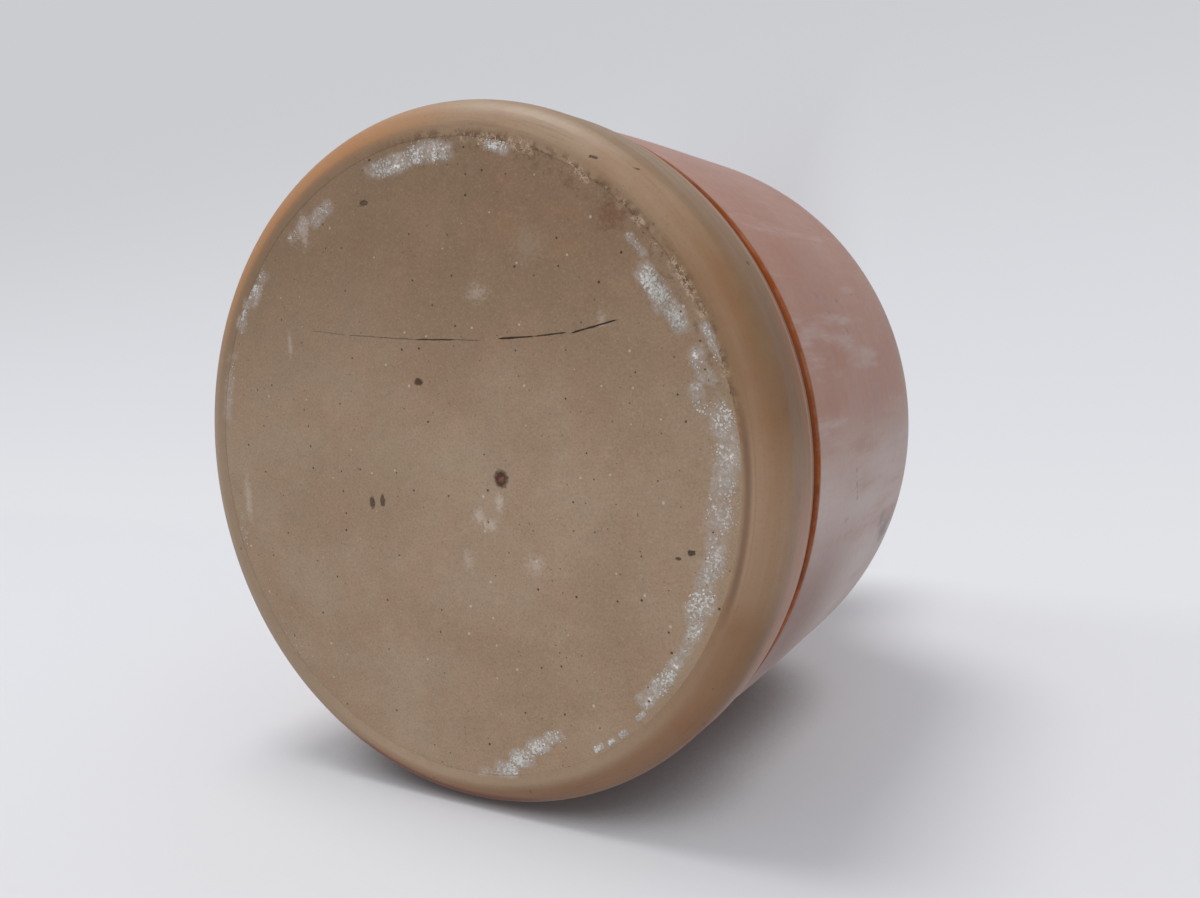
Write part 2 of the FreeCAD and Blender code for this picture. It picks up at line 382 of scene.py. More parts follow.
# the long crack, run by run: start, end, width in millimetres, strength
crackRuns = [
    ((-47.0, 40.6), (-33.0, 38.5), 0.13, 0.35), ((-33.0, 38.5), (-6.5, 35.7), 0.15, 0.5),
    ((-7.0, 35.7), (7.5, 34.9), 0.25, 0.95), ((7.5, 34.9), (15.5, 34.2), 0.16, 0.45),
    ((21.5, 34.4), (33.0, 34.3), 0.34, 1.0), ((33.0, 34.3), (43.0, 34.8), 0.28, 0.9),
    ((44.3, 34.5), (58.2, 37.1), 0.34, 1.0),
]

# where, size, stretch, ragged, strength, which colour
skinBlots = [
    ((19.2, -3.5), 2.7, (1.0, 1.05), 0.45, 1.0, "spot"), ((-28.3, -11.3), 1.3, (0.9, 1.6), 0.6, 0.8, "dark"),
    ((-24.2, -10.6), 1.3, (0.8, 1.6), 0.6, 0.8, "dark"), ((-7.0, 23.8), 1.35, (1.4, 0.9), 0.5, 0.9, "dark"),
    ((-21.9, 75.2), 1.5, (1.3, 0.6), 0.6, 0.7, "dark"), ((75.0, -21.0), 1.0, (1.2, 0.8), 1.1, 0.9, "dark"),
    ((71.4, -22.6), 0.8, (1.2, 0.6), 0.4, 0.8, "dark"), ((18.0, -10.2), 2.6, (0.7, 1.5), 1.3, 0.55, "pale"),
    ((11.0, -14.0), 2.6, (1.1, 1.2), 1.3, 0.5, "pale"), ((14.6, -16.4), 2.8, (1.1, 0.9), 1.3, 0.5, "pale"),
    ((28.5, -26.8), 3.6, (1.2, 1.0), 1.5, 0.36, "pale"), ((6.0, -27.0), 3.0, (0.8, 1.5), 1.5, 0.3, "pale"),
    ((53.5, 37.5), 2.2, (0.8, 1.4), 1.2, 0.3, "pale"), ((15.5, 47.0), 3.4, (1.4, 1.0), 1.5, 0.3, "pale"),
    ((-56.5, 36.8), 2.6, (0.5, 2.2), 0.9, 0.34, "pale"), ((-81.5, -11.0), 4.4, (0.5, 2.4), 0.9, 0.36, "pale"),
    ((-46.0, 70.0), 4.0, (0.7, 1.6), 1.4, 0.4, "pale"), ((5.0, 0.0), 9.0, (1.0, 1.0), 1.0, 0.12, "olive"),
    ((-20.0, 0.0), 12.0, (0.8, 1.2), 1.0, 0.14, "olive"), ((33.0, 58.0), 7.0, (1.0, 1.0), 1.2, 0.1, "pale"),
    ((58.0, 62.5), 5.0, (1.2, 1.0), 1.2, 0.6, "rust"), ((47.0, 72.0), 3.0, (1.2, 0.8), 1.2, 0.4, "rust"),
    ((70.0, 45.5), 3.0, (1.0, 1.2), 1.2, 0.3, "rust"),
]


def hideTone(tree, parts):
    # bare hide, darker towards the +Y side of the head and a little darker at both sides
    upper = fade(tree, parts[1], -5.0 * mm, 75.0 * mm, 0.0, 0.78)
    colour = tint(tree, upper, skinFinish["base"], skinFinish["shade"])
    sides = fade(tree, maths(tree, "ABSOLUTE", parts[0]), 35.0 * mm, 78.0 * mm, 0.0, 0.15)
    return tint(tree, sides, colour, skinFinish["shade"])


def tornFibres(tree, vector, radius, outward):
    # pale threads of hide along the torn inner edge of the band
    thread = fineNoise(tree, vector, 380.0, 4.0, 0.8)
    thread = maths(tree, "ABSOLUTE", maths(tree, "SUBTRACT", thread, 0.5))
    sparse = fade(tree, fineNoise(tree, vector, 120.0, 3.0, 0.6), 0.46, 0.6)
    thread = maths(tree, "MULTIPLY", sparse, fade(tree, thread, 0.05, 0.01))
    edge = maths(tree, "ABSOLUTE", maths(tree, "SUBTRACT", radius, skinLift["reach"] * mm))
    around = fade(tree, facing(tree, outward, 50.0), 0.7, 0.92)
    around = maths(tree, "MULTIPLY", fade(tree, edge, 2.2 * mm, 0.4 * mm), around)
    return maths(tree, "MULTIPLY", around, thread)


def makeSkinMaterial(name):
    look = skinFinish
    material, tree, shader = newMaterial(name)
    vector = place(tree)
    parts = split(tree, vector)
    # clouds, stains and speckle
    cloud = cloudy(tree, vector, 24.0, 0.38, 0.64)
    stain = cloudy(tree, vector, 62.0, 0.42, 0.68, 3.0)
    tone = cloudy(tree, vector, 260.0, 0.3, 0.7, 6.0)
    colour = hideTone(tree, parts)
    colour = wash(tree, colour, cloud, 0.26, look["shade"])
    colour = wash(tree, colour, stain, 0.22, look["warm"])
    colour = wash(tree, colour, tone, 0.10, look["dull"])
    speckle = fineNoise(tree, vector, 1500.0, 4.0, 0.75)
    colour = tint(tree, fade(tree, speckle, 0.48, 0.72, 0.0, 0.34), colour, look["speckDark"])
    colour = tint(tree, fade(tree, speckle, 0.48, 0.28, 0.0, 0.2), colour, look["speckLight"])
    smallPits = pitted(tree, specks, vector, 150.0, 0.052, 0.34)
    tinyPits = pitted(tree, specks, vector, 330.0, 0.075, 0.13)
    paleDots = pitted(tree, specks, vectorMaths(tree, "ADD", vector, (0.5, 0.2, 0.0)), 125.0, 0.062, 0.2)
    pits = maths(tree, "MAXIMUM", smallPits, maths(tree, "MULTIPLY", tinyPits, 0.6))
    # torn scraps, fibres and powder near the band
    radius, outward = roundAxis(tree, vector)
    torn = maths(tree, "MULTIPLY", fade(tree, radius, 82.0 * mm, 88.6 * mm),
                 fade(tree, facing(tree, outward, 52.0), 0.62, 0.9))
    flecks = fade(tree, fineNoise(tree, vector, 420.0, 5.0, 0.75), 0.52, 0.66)
    colour = wash(tree, colour, maths(tree, "MULTIPLY", torn, flecks), 0.75, look["rag"])
    fibres = tornFibres(tree, vector, radius, outward)
    colour = wash(tree, colour, fibres, 0.7, look["fibre"])
    dust = useGroup(tree, powder, {"Vector": vector})
    veil, white = dust["Veil"], dust["White"]
    colour = wash(tree, colour, veil, 0.8, look["powder"])
    colour = tint(tree, white, colour, look["whitest"])
    # blots, the dark spot with its paler heart, and the crack
    depth = pits
    for (x, y), size, stretch, ragged, strength, kind in skinBlots:
        isPit = kind in ("spot", "dark")
        mask = blotted(tree, vector, at(x, y), size, Stretch=(*stretch, 1.0), Soft=0.5 if isPit else 0.9,
                       Ragged=ragged)
        colour = wash(tree, colour, mask, strength, look[kind])
        if isPit:
            depth = maths(tree, "MAXIMUM", depth, mask)
    spotHeart = blotted(tree, vector, at(19.4, -3.6), 1.3, Soft=0.8, Ragged=1.6, Grain=1400.0)
    colour = wash(tree, colour, spotHeart, 0.55, look["spotHeart"])
    for start, end, width, strength in crackRuns:
        line = ruled(tree, vector, start, end, width)
        colour = wash(tree, colour, line, strength, look["crack"])
        depth = maths(tree, "MAXIMUM", depth, maths(tree, "MULTIPLY", line, strength))
    colour = wash(tree, colour, pits, 0.85, look["dark"])
    colour = wash(tree, colour, paleDots, 0.4, look["dot"])
    tree.links.new(colour, shader.inputs["Base Color"])
    # polish and relief
    rough = fade(tree, cloud, 0.0, 1.0, look["roughness"] - 0.06, look["roughness"] + 0.08)
    tree.links.new(rough, shader.inputs["Roughness"])
    shader.inputs["Specular IOR Level"].default_value = 0.3
    grain = fineNoise(tree, vector, 900.0, 6.0, 0.72)
    lumps = fineNoise(tree, vector, 150.0, 4.0, 0.6)
    height = maths(tree, "MULTIPLY_ADD", lumps, 1.6, grain)
    height = maths(tree, "MULTIPLY_ADD", veil, maths(tree, "MULTIPLY_ADD", speckle, 1.6, 0.6), height)
    height = maths(tree, "MULTIPLY_ADD", depth, -2.4, height)
    bump(tree, shader, height, 0.00026, 0.9)
    return material


bandFinish = {
    "base": paint(136, 104, 74), "paintedLitTop": paint(138, 110, 86), "light": paint(154, 131, 108),
    "darkToneAndPaintedShade": paint(122, 88, 57), "paintedUnderShade": paint(132, 98, 78), "pale": paint(160, 134, 112),
    "smoke": paint(112, 98, 74), "wipeLine": paint(104, 80, 62), "paintedSideShade": paint(70, 46, 28),
    "amber": paint(132, 76, 36), "rust": paint(92, 44, 18), "amberEdge": paint(170, 118, 72),
    "pink": paint(158, 116, 98), "paintedPinkHighlight": paint(170, 130, 112), "ember": paint(150, 94, 54),
    "paintedLipHighlight": paint(190, 136, 98), "stepShadowLine": paint(92, 66, 52), "rag": paint(96, 70, 50),
    "fibre": paint(194, 172, 148), "mark": paint(58, 42, 32), "hollow": paint(92, 62, 40),
    "powder": paint(178, 168, 160), "darkEdgeAndContactShade": paint(98, 48, 32), "contactShadeLean": (0.635, 0.382, 0.672),
    "roughness": 0.46,
}

# painted light and shade round the band: lighter on top and on the upper side (painted light), darker on the
# right side and underside (painted shade), and a painted highlight low on the right: bearing, how squarely it
# starts and ends, strength, colour
bandSides = [
    (95.0, 0.2, 0.95, 1.0, "paintedLitTop"), (70.0, 0.72, 1.0, 0.9, "light"), (0.0, 0.80, 0.99, 0.85, "darkToneAndPaintedShade"),
    (-70.0, 0.55, 1.0, 0.6, "paintedUnderShade"), (-9.0, 0.955, 0.999, 0.62, "pale"),
]

# marks on the band: scratches from, to and width, then pits and how wide
bandScratches = [
    ((62.5, 74.2, 318.6), (65.6, 72.6, 316.8), 0.5), ((59.8, 76.5, 318.9), (61.6, 75.1, 318.8), 0.35),
    ((53.0, 77.3, 319.4), (55.4, 76.4, 319.3), 0.6), ((93.5, -8.0, 318.3), (94.4, -10.0, 318.0), 0.3),
]
bandPits = [
    ((87.3, 48.8, 304.1), 0.9), ((93.0, -14.6, 318.4), 0.9), ((91.0, 20.0, 319.2), 0.5),
    ((70.0, 62.0, 318.9), 0.6),
]


def makeBandMaterial(name):
    look = bandFinish
    material, tree, shader = newMaterial(name)
    vector = place(tree)
    parts = split(tree, vector)
    radius, outward = roundAxis(tree, vector)
    rings = useGroup(tree, throwingLines, {"Vector": vector})
    cloud = cloudy(tree, vector, 18.0, 0.35, 0.65, 1.0)
    stain = cloudy(tree, vector, 50.0, 0.45, 0.7, 8.0)
    # painted light and shade round the drum, then the marks of wiping
    colour = look["base"]
    for bearing, low, high, strength, kind in bandSides:
        colour = washSide(tree, colour, outward, bearing, low, high, strength, look[kind])
    colour = wash(tree, colour, rings["Mask"], 0.3, look["darkToneAndPaintedShade"])
    along = maths(tree, "MULTIPLY", parts[0], 0.06)
    across = addNode(tree, "ShaderNodeCombineXYZ", {0: radius, 1: parts[2], 2: along}).outputs[0]
    lines = fineNoise(tree, across, 620.0, 3.0, 0.6)
    wipe = fineNoise(tree, across, 190.0, 4.0, 0.65)
    smoky = fade(tree, facing(tree, outward, 38.0), 0.76, 0.99)
    smoky = maths(tree, "MULTIPLY", fade(tree, wipe, 0.45, 0.62), smoky)
    colour = wash(tree, colour, smoky, 0.42, look["smoke"])
    colour = tint(tree, fade(tree, lines, 0.56, 0.7, 0.0, 0.3), colour, look["wipeLine"])
    colour = wash(tree, colour, cloud, 0.22, look["light"])
    colour = wash(tree, colour, stain, 0.2, look["amber"])
    # the same bare hide as the face, where the band turns onto it and on its worn side
    bare = hideTone(tree, parts)
    face = fade(tree, radius, 95.0 * mm, 91.0 * mm)
    around = fade(tree, facing(tree, outward, -150.0), -0.75, 0.1, 0.2, 0.95)
    colour = tint(tree, maths(tree, "MULTIPLY", face, around), colour, bare)
    colour = washSide(tree, colour, outward, 192.0, 0.35, 0.88, 1.0, bare)
    # darker on the left side and on the lower right: painted shade
    colour = washSide(tree, colour, outward, 192.0, 0.35, 0.88, 0.14, look["paintedSideShade"])
    colour = washSide(tree, colour, outward, -55.0, 0.68, 0.95, 0.16, look["paintedSideShade"])
    amberEdge = maths(tree, "MULTIPLY", fade(tree, facing(tree, outward, 122.0), 0.70, 0.99),
                      maths(tree, "MULTIPLY", fade(tree, radius, 90.5 * mm, 94.0 * mm),
                            below(tree, parts[2], 9.0, 1.5)))
    colour = wash(tree, colour, amberEdge, 0.66, look["amberEdge"])
    # pink, ember, a painted pink highlight and painted contact shade towards the lower edge
    lowBand = below(tree, parts[2], 13.0, 21.0)
    flush = below(tree, parts[2], 7.0, 14.0)
    # a painted pink highlight with wiped streaks, low on the right
    paintedPinkHighlight = maths(tree, "MULTIPLY", flush, fade(tree, facing(tree, outward, -24.0), 0.9, 0.985))
    paintedPinkHighlight = maths(tree, "MULTIPLY", paintedPinkHighlight, fade(tree, wipe, 0.3, 0.6, 0.45, 0.85))
    colour = wash(tree, colour, lowBand, 0.12, look["pink"])
    colour = tint(tree, paintedPinkHighlight, colour, look["paintedPinkHighlight"])
    ember = maths(tree, "MULTIPLY", lowBand, fade(tree, facing(tree, outward, 10.0), 0.955, 0.995, 0.0, 0.6))
    colour = tint(tree, ember, colour, look["ember"])
    # a dark edge with painted contact shade, on the underside where the drum rests on the floor
    normal = addNode(tree, "ShaderNodeNewGeometry").outputs["Normal"]
    turned = vectorMaths(tree, "DOT_PRODUCT", normal, look["contactShadeLean"], output=1)
    darkEdgeAndContactShade = fade(tree, facing(tree, outward, -97.0), 0.9, 0.985)
    darkEdgeAndContactShade = maths(tree, "MULTIPLY", fade(tree, turned, 0.46, 0.26), darkEdgeAndContactShade)
    colour = wash(tree, colour, darkEdgeAndContactShade, 0.85, look["darkEdgeAndContactShade"])
    # dark amber along the lower edge where it dips into the groove: the band's amber deepened with painted
    # shade, darkest at the bottom, with a painted highlight line above it where the lip catches the light
    edgeLine = below(tree, parts[2], 19.4, 19.9)
    drift = fineNoise(tree, vector, 60.0, 4.0, 0.6)
    amber = tint(tree, fade(tree, drift, 0.4, 0.62), look["amber"], look["rust"])
    colour = tint(tree, edgeLine, colour, amber)
    colour = tint(tree, below(tree, parts[2], 20.2, 21.6), colour, look["rust"])
    # a painted highlight where the lip's edge catches the light
    paintedLipHighlight = maths(tree, "MULTIPLY", below(tree, parts[2], 18.3, 18.8),
                      below(tree, parts[2], 19.6, 19.1))
    colour = wash(tree, colour, paintedLipHighlight, 0.5, look["paintedLipHighlight"])
    # the lip: a short fold with a painted shadow line along it, torn scraps, fibres and powder
    stepShadowLine = maths(tree, "ABSOLUTE", maths(tree, "SUBTRACT", radius, 90.9 * mm))
    stepShadowLine = maths(tree, "MULTIPLY", fade(tree, stepShadowLine, 1.5 * mm, 0.2 * mm),
                  fade(tree, facing(tree, outward, -8.0), 0.945, 0.985))
    colour = wash(tree, colour, stepShadowLine, 0.6, look["stepShadowLine"])
    ragNoise = fineNoise(tree, vector, 230.0, 7.0, 0.75)
    inner = fade(tree, radius, 92.5 * mm, 89.3 * mm)
    torn = fade(tree, facing(tree, outward, 52.0), 0.55, 0.86, 0.12, 1.0)
    ragged = maths(tree, "MULTIPLY", maths(tree, "MULTIPLY", inner, torn), fade(tree, ragNoise, 0.42, 0.6))
    colour = tint(tree, ragged, colour, look["rag"])
    fibres = tornFibres(tree, vector, radius, outward)
    colour = wash(tree, colour, fibres, 0.7, look["fibre"])
    dust = useGroup(tree, powder, {"Vector": vector})
    colour = wash(tree, colour, dust["Veil"], 0.7, look["powder"])
    # pores, scratches and pits
    dots = pitted(tree, pores, vector, 230.0, 0.14, 0.10)
    marks = maths(tree, "MULTIPLY", dots, 0.5)
    for start, end, width in bandScratches:
        line = ruled(tree, vector, start, end, width)
        marks = maths(tree, "MAXIMUM", marks, line)
    for centre, size in bandPits:
        pit = blotted(tree, vector, at(*centre), size)
        marks = maths(tree, "MAXIMUM", marks, pit)
    colour = wash(tree, colour, marks, 0.8, look["mark"])
    speckle = fineNoise(tree, vector, 1100.0, 4.0, 0.7)
    colour = tint(tree, fade(tree, speckle, 0.5, 0.75, 0.0, 0.22), colour, look["rag"])
    rubbed = useGroup(tree, wear, {"Vector": vector, "Amount": 0.3})
    colour = tint(tree, rubbed["Hollow"], colour, look["hollow"])
    tree.links.new(colour, shader.inputs["Base Color"])
    # polish and relief
    grain = fineNoise(tree, vector, 500.0, 5.0, 0.65)
    rough = maths(tree, "MULTIPLY_ADD", lowBand, -0.12, look["roughness"] - 0.06)
    rough = maths(tree, "MULTIPLY_ADD", grain, 0.16, rough)
    rough = maths(tree, "MULTIPLY_ADD", maths(tree, "MAXIMUM", face, inner), 0.22, rough, clamp=True)
    tree.links.new(rough, shader.inputs["Roughness"])
    height = maths(tree, "MULTIPLY_ADD", rings["Height"], 1.6, maths(tree, "MULTIPLY", grain, 0.5))
    height = maths(tree, "MULTIPLY_ADD", ragged, maths(tree, "MULTIPLY", ragNoise, 2.0), height)
    height = maths(tree, "MULTIPLY_ADD", stepShadowLine, -1.6, height)
    height = maths(tree, "MULTIPLY_ADD", marks, -1.5, height)
    shader.inputs["Specular IOR Level"].default_value = 0.28
    bump(tree, shader, height, 0.00018, 0.6)
    return material


clayFinish = {
    "base": paint(161, 110, 89), "pale": paint(169, 123, 102), "grey": paint(146, 116, 104),
    "rust": paint(158, 98, 72), "paintedGreySheen": paint(188, 171, 165), "darkToneAndPaintedShade": paint(122, 76, 56),
    "streak": paint(148, 96, 74), "inside": paint(150, 108, 86), "groove": paint(122, 62, 25),
    "shine": paint(140, 68, 20), "grooveLowShade": paint(84, 46, 32), "smudge": paint(92, 80, 78),
    "pit": paint(74, 54, 46), "rubbed": paint(190, 152, 130), "packed": paint(96, 58, 40), "roughness": 0.36,
}

# marks on the bowl's side: bearing, height, size, stretch, strength, colour
bowlMarks = [
    (-21.3, 205.0, 7.5, (1.0, 1.0, 1.3), 0.75, "smudge"), (-18.0, 214.0, 4.5, (1.0, 1.0, 1.3), 0.6, "smudge"),
    (-25.6, 192.0, 5.0, (1.0, 1.0, 1.4), 0.6, "smudge"), (-5.0, 257.6, 0.8, (1.0, 1.4, 1.6), 0.75, "smudge"),
    (-6.2, 257.0, 0.6, (1.0, 1.6, 1.2), 0.7, "smudge"), (-7.4, 256.4, 0.9, (1.0, 1.6, 1.4), 0.75, "smudge"),
    (-8.8, 255.2, 0.6, (1.0, 1.4, 1.2), 0.6, "smudge"), (-10.0, 254.4, 0.8, (1.0, 1.6, 1.6), 0.7, "smudge"),
    (-13.0, 262.0, 1.2, (1.0, 1.0, 3.0), 0.3, "smudge"), (23.6, 245.0, 1.3, (1.0, 1.0, 2.0), 0.5, "smudge"),
    (24.4, 262.0, 1.4, (0.6, 1.6, 0.9), 0.5, "smudge"), (21.4, 257.5, 1.1, (1.0, 1.0, 1.0), 0.5, "smudge"),
    (18.1, 246.7, 1.2, (1.0, 1.0, 1.6), 0.45, "smudge"),
    (14.0, 262.0, 7.0, (1.0, 1.0, 1.5), 0.5, "rust"), (6.0, 275.0, 5.0, (1.0, 1.0, 1.2), 0.35, "rust"),
    (33.0, 268.0, 9.0, (1.0, 1.0, 1.2), 0.4, "rust"), (-2.0, 214.0, 10.0, (1.0, 1.0, 1.4), 0.3, "grey"),
    (150.0, 232.0, 12.0, (1.0, 1.0, 1.2), 0.35, "grey"),
    (-120.0, 170.0, 10.0, (1.0, 1.0, 1.0), 0.3, "smudge"),
    (205.0, 262.0, 5.0, (1.0, 1.0, 1.6), 0.4, "smudge"), (96.0, 190.0, 9.0, (1.0, 1.0, 1.3), 0.4, "rust"),
]


def paintGroove(tree, colour, parts):
    # dark amber in the turned groove, spilling over both its lips: its own colour deepened with painted shade
    # of the recess, darker still on the lower side (painted shade), with painted glints on its lower wall
    low, high = headTop - 30.4 * mm, headTop - 29.2 * mm
    stain = maths(tree, "MULTIPLY", fade(tree, parts[2], low, high),
                  fade(tree, parts[2], headTop - 22.6 * mm, headTop - 23.2 * mm))
    drift = fineNoise(tree, vectorMaths(tree, "MULTIPLY", place(tree), (1, 1, 3)), 40.0, 4.0, 0.6)
    outward = roundAxis(tree, place(tree))[1]
    lowSideShade = washSide(tree, clayFinish["groove"], outward, -55.0, 0.55, 0.93, 1.0, clayFinish["grooveLowShade"])
    colour = tint(tree, stain, colour, lowSideShade)
    # painted glints along the groove's lower wall
    lip = maths(tree, "MULTIPLY", stain, fade(tree, parts[2], headTop - 27.6 * mm, headTop - 29.0 * mm))
    lip = maths(tree, "MULTIPLY", lip, fade(tree, drift, 0.35, 0.62))
    colour = tint(tree, lip, colour, clayFinish["shine"])
    return colour, stain


def makeClayMaterial(name, grooved=False, dull=0.0, seed=0.0):
    look = clayFinish
    material, tree, shader = newMaterial(name)
    vector = place(tree)
    parts = split(tree, vector)
    outward = roundAxis(tree, vector)[1]
    rings = useGroup(tree, throwingLines, {"Vector": vector})
    cloud = cloudy(tree, vector, 14.0, 0.35, 0.65, seed)
    stain = cloudy(tree, vector, 34.0, 0.5, 0.72, seed + 5.0)
    # body colour with streaks that run up the side
    streakPlace = vectorMaths(tree, "MULTIPLY", vector, (1.0, 1.0, 0.16))
    streak = fineNoise(tree, streakPlace, 90.0, 4.0, 0.65)
    colour = tint(tree, cloud, look["base"], look["pale"])
    colour = wash(tree, colour, stain, 0.45, look["rust"])
    colour = wash(tree, colour, rings["Mask"], 0.2, look["grey"])
    # a painted grey reflection of the floor low on the right and painted sheen streaks, a warm side, and
    # painted shade on the low side
    paintedGreySheen = fade(tree, facing(tree, outward, -22.0), 0.87, 0.99)
    paintedGreySheen = maths(tree, "MULTIPLY", paintedGreySheen, fade(tree, streak, 0.3, 0.62, 0.55, 1.0))
    colour = wash(tree, colour, paintedGreySheen, 0.85, look["paintedGreySheen"])
    warmth = fade(tree, facing(tree, outward, 60.0), 0.55, 1.0)
    warmth = maths(tree, "MULTIPLY", warmth, fade(tree, streak, 0.35, 0.6))
    colour = wash(tree, colour, warmth, 0.5, look["rust"])
    # streaks of the same painted sheen up the side
    colour = tint(tree, fade(tree, streak, 0.52, 0.72, 0.0, 0.5), colour, look["paintedGreySheen"])
    # darker brown low on the side towards the floor: painted shade
    lowSideShade = fade(tree, facing(tree, outward, -52.0), 0.72, 0.9)
    lowSideShade = maths(tree, "MULTIPLY", lowSideShade, fade(tree, parts[2], 225.0 * mm, 282.0 * mm))
    colour = wash(tree, colour, lowSideShade, 0.85, look["darkToneAndPaintedShade"])
    colour = tint(tree, fade(tree, streak, 0.46, 0.3, 0.0, 0.4), colour, look["streak"])
    dots = pitted(tree, pores, vector, 210.0, 0.12, 0.08)
    marks = maths(tree, "MULTIPLY", dots, 0.45)
    grain = fineNoise(tree, vector, 620.0, 5.0, 0.65)
    height = maths(tree, "MULTIPLY_ADD", grain, 0.35 + dull, rings["Height"])
    rough = maths(tree, "MULTIPLY_ADD", grain, 0.14, look["roughness"] - 0.07 + 0.3 * dull)
    rough = maths(tree, "MULTIPLY_ADD", streak, 0.16, maths(tree, "SUBTRACT", rough, 0.08))
    if grooved:  # the bowl, with its unburnished inside
        normal = addNode(tree, "ShaderNodeNewGeometry").outputs["Normal"]
        lean = vectorMaths(tree, "DOT_PRODUCT", normal, outward, output=1)
        hollow = fade(tree, lean, -0.1, -0.35)
        colour = tint(tree, hollow, colour, look["inside"])
        rough = maths(tree, "MULTIPLY_ADD", hollow, 0.35, rough)
        for bearing, rise, size, stretch, strength, kind in bowlMarks:
            turn = math.radians(bearing)
            centre = at(headRadius / mm * math.cos(turn), headRadius / mm * math.sin(turn), rise)
            mask = blotted(tree, vector, centre, size, Stretch=stretch, Soft=0.9, Ragged=0.9, Grain=300.0)
            colour = wash(tree, colour, mask, strength, look[kind])
        colour, groove = paintGroove(tree, colour, parts)
        rough = maths(tree, "MULTIPLY_ADD", groove, -0.1, rough)
        tree.links.new(fade(tree, groove, 0.0, 1.0, 0.5, 0.12), shader.inputs["Specular IOR Level"])
    else:  # the stem, scuffed round its foot
        mouth = fade(tree, parts[2], 12.0 * mm, 0.0)
        colour = wash(tree, colour, mouth, 0.5, look["rust"])
        rough = maths(tree, "MULTIPLY_ADD", mouth, 0.12, rough)
    colour = tint(tree, marks, colour, look["pit"])
    speckle = fineNoise(tree, vector, 1100.0, 3.0, 0.7)
    colour = tint(tree, fade(tree, speckle, 0.5, 0.75, 0.0, 0.16), colour, look["smudge"])
    rubbed = useGroup(tree, wear, {"Vector": vector, "Amount": 0.4})
    colour = tint(tree, rubbed["Edge"], colour, look["rubbed"])
    colour = wash(tree, colour, rubbed["Hollow"], 0.7, look["packed"])
    tree.links.new(colour, shader.inputs["Base Color"])
    tree.links.new(maths(tree, "ADD", rough, 0.0, clamp=True), shader.inputs["Roughness"])
    height = maths(tree, "MULTIPLY_ADD", marks, -1.2, height)
    bump(tree, shader, height, 0.00018, 0.5)
    return material


gutFinish = {
    "base": paint(128, 64, 28), "dark": paint(98, 46, 22), "light": paint(160, 92, 48),
    "roughness": 0.3, "grain": 800.0, "depth": 0.06, "coat": 0.3,
}
glueFinish = {
    "base": paint(150, 104, 62), "dark": paint(110, 70, 40), "light": paint(186, 146, 96),
    "roughness": 0.4, "grain": 500.0, "depth": 0.1, "coat": 0.0,
}
lapFinish = {
    "base": paint(150, 126, 102), "dark": paint(120, 96, 72), "light": paint(178, 156, 130),
    "roughness": 0.7, "grain": 700.0, "depth": 0.1, "coat": 0.0,
}
crustFinish = {
    "base": paint(188, 184, 178), "dark": paint(150, 142, 132), "light": paint(222, 224, 224),
    "roughness": 0.85, "grain": 1500.0, "depth": 0.1, "coat": 0.0,
}


def makePlainMaterial(name, look):
    # gut, glue, hide or crust: two tones, a grain and a polish
    material, tree, shader = newMaterial(name)
    vector = place(tree)
    cloud = cloudy(tree, vector, 60.0, 0.35, 0.65, 2.0)
    grain = fineNoise(tree, vector, look["grain"], 5.0, 0.7)
    colour = tint(tree, cloud, look["base"], look["dark"])
    colour = tint(tree, fade(tree, grain, 0.45, 0.75, 0.0, 0.6), colour, look["light"])
    rubbed = useGroup(tree, wear, {"Vector": vector, "Amount": 0.5})
    colour = tint(tree, rubbed["Hollow"], colour, look["dark"])
    tree.links.new(colour, shader.inputs["Base Color"])
    rough = maths(tree, "MULTIPLY_ADD", grain, 0.2, look["roughness"] - 0.1, clamp=True)
    tree.links.new(rough, shader.inputs["Roughness"])
    shader.inputs["Coat Weight"].default_value = look["coat"]
    bump(tree, shader, grain, look["depth"] * mm, 0.6)
    return material


skinMaterial = makeSkinMaterial("scrapedHide")
bandMaterial = makeBandMaterial("amberHideBand")
bowlMaterial = makeClayMaterial("burnishedClayBowl", grooved=True)
stemMaterial = makeClayMaterial("burnishedClayStem", seed=9.0)
luteMaterial = makeClayMaterial("wipedSlip", dull=0.5, seed=4.0)
gutMaterial = makePlainMaterial("amberGut", gutFinish)
glueMaterial = makePlainMaterial("driedGlue", glueFinish)
lapMaterial = makePlainMaterial("lappedHide", lapFinish)
crustMaterial = makePlainMaterial("driedCrust", crustFinish)
print("finishes ready")


def onArc(centre, radius, degrees):
    turn = math.radians(degrees)
    return (centre[0] + radius * math.cos(turn), centre[1] + radius * math.sin(turn))


def arcRun(centre, radius, start, end, count):
    return [onArc(centre, radius, start + (end - start) * i / count) for i in range(count + 1)]


def straightRun(start, end, count):
    return [(start[0] + (end[0] - start[0]) * i / count, start[1] + (end[1] - start[1]) * i / count)
            for i in range(count + 1)]


def softRun(start, pullOut, pullIn, end, count):
    # one smooth bend between two points, shaped by two handles
    points = [Vector((*p, 0.0)) for p in (start, pullOut, pullIn, end)]
    return [(p.x, p.y) for p in geometry.interpolate_bezier(*points, count + 1)]


def joinRuns(*runs):
    outline = []
    for run in runs:
        for point in run:
            if not outline or (Vector(point) - Vector(outline[-1])).length > 0.02:
                outline.append(point)
    return outline


